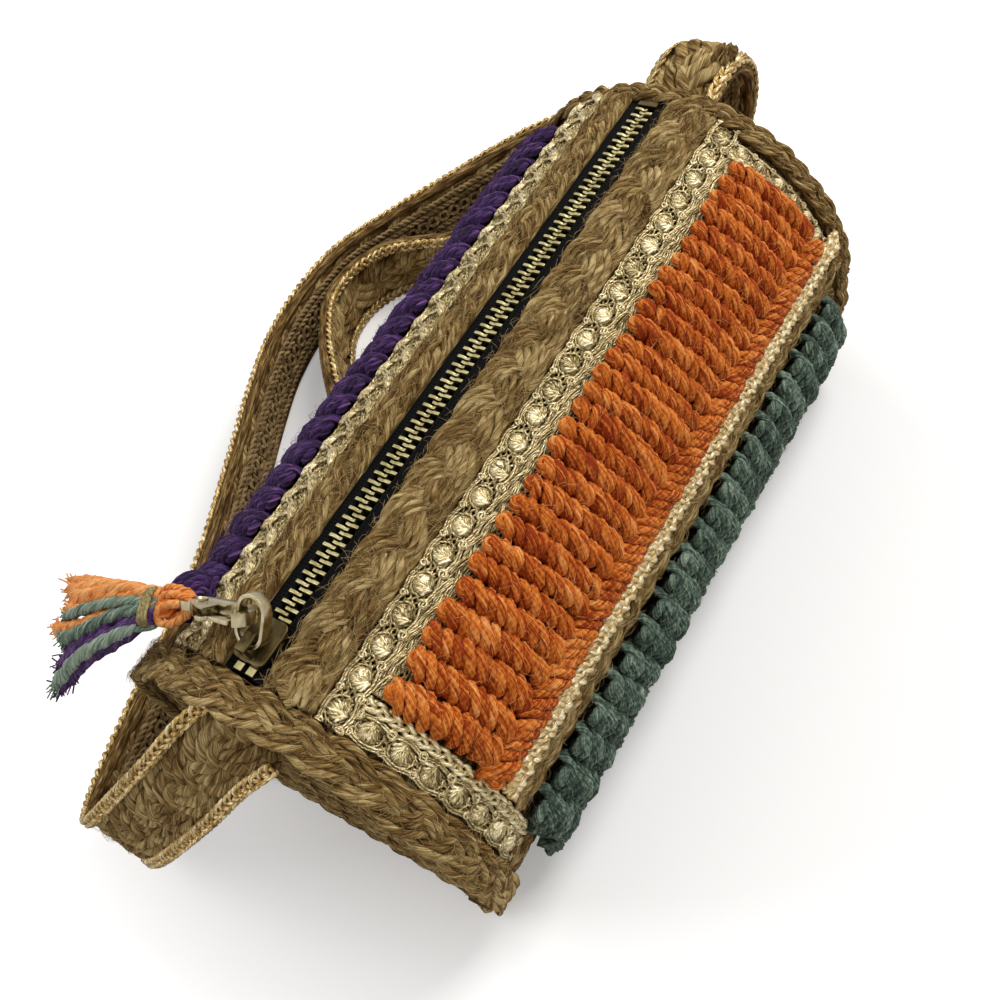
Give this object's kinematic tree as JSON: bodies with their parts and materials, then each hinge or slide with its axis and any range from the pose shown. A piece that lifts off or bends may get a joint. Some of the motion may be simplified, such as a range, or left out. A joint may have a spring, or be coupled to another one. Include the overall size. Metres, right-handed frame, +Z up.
{
  "type": "barrel shoulder bag",
  "caption": "Small barrel bag of sewn jute plaits with a top zip, knotted yarn panels, gold lace, a plaited shoulder strap and a yarn tassel on a lobster clasp.",
  "frame": {"origin": "centre of the flat base on the table", "axes": "+X along the zip from its closed end to its far end, +Y to the back, +Z up; the front faces -Y"},
  "size_m": [0.2983, 0.1935, 0.1017],
  "materials": {
    "jute": "matte, hairy plaited jute",
    "cotton": "matte cotton",
    "tape": "matte woven tape",
    "brass": "antique brass, worn",
    "gold": "metallic thread lace",
    "orange": "soft plied yarn",
    "teal": "soft plied yarn",
    "purple": "soft plied yarn",
    "thread": "metallic olive thread"
  },
  "bodies": {
    "bag": {"front_wall": "jute", "back_wall": "jute", "base_panel": "jute", "near_end_panel": "jute", "far_end_panel": "jute", "lining": "cotton", "front_mouth_plait": "jute", "back_mouth_plait": "jute", "near_rim_plait": "jute", "far_rim_plait": "jute", "front_lower_plait": "jute", "lace_top": "gold", "lace_cord": "gold", "lace_near_end": "gold", "lace_far_end": "gold", "gold_braid_front": "gold", "lace_back": "gold", "gold_braid_back": "gold", "orange_panel": "orange", "teal_panel": "teal", "purple_panel": "purple", "zip_tape_front": "tape", "zip_tape_back": "tape", "zip_teeth_front": "brass", "zip_teeth_back": "brass", "top_stop_front": "brass", "top_stop_back": "brass", "bottom_stop": "brass", "strap_plait": "jute", "strap_gold_edge_lower": "gold", "strap_gold_edge_upper": "gold", "strap_backing": "cotton"},
    "slider": {"slider_upper_plate": "brass", "slider_lower_plate": "brass"},
    "ring": {"pull_ring": "brass"},
    "clasp": {"clasp_body": "brass", "clasp_pin": "brass", "trigger_spring": "brass"},
    "trigger": {"clasp_trigger": "brass"},
    "tassel": {"tassel_loop": "orange", "tassel_binding": "thread", "tassel_orange": "orange", "tassel_teal": "teal", "tassel_purple": "purple"}
  },
  "joints": [
    {"name": "slider_slide", "type": "slide", "parent": "bag", "child": "slider", "axis": [1, 0, 0], "range_m": [0, 0.175]},
    {"name": "ring_swing", "type": "hinge", "parent": "slider", "child": "ring", "pos_m": [-0.08818, 0, 0.09195], "axis": [0, 1, 0], "range_deg": [-28, 0]},
    {"name": "clasp_lift", "type": "hinge", "parent": "ring", "child": "clasp", "pos_m": [-0.0839, 0.0038, 0.09623], "axis": [0.7007, 0.2084, 0.6823], "range_deg": [0, 25]},
    {"name": "trigger_open", "type": "hinge", "parent": "clasp", "child": "trigger", "pos_m": [-0.08637, 0.0132, 0.0959], "axis": [0.7007, 0.2084, 0.6823], "range_deg": [0, 14], "stiffness_Nm_per_rad": 0.02, "springref_deg": -17.19},
    {"name": "tassel_lift", "type": "hinge", "parent": "clasp", "child": "tassel", "pos_m": [-0.08621, 0.01957, 0.09379], "axis": [1, 0, 0], "range_deg": [0, 40]}
  ]
}
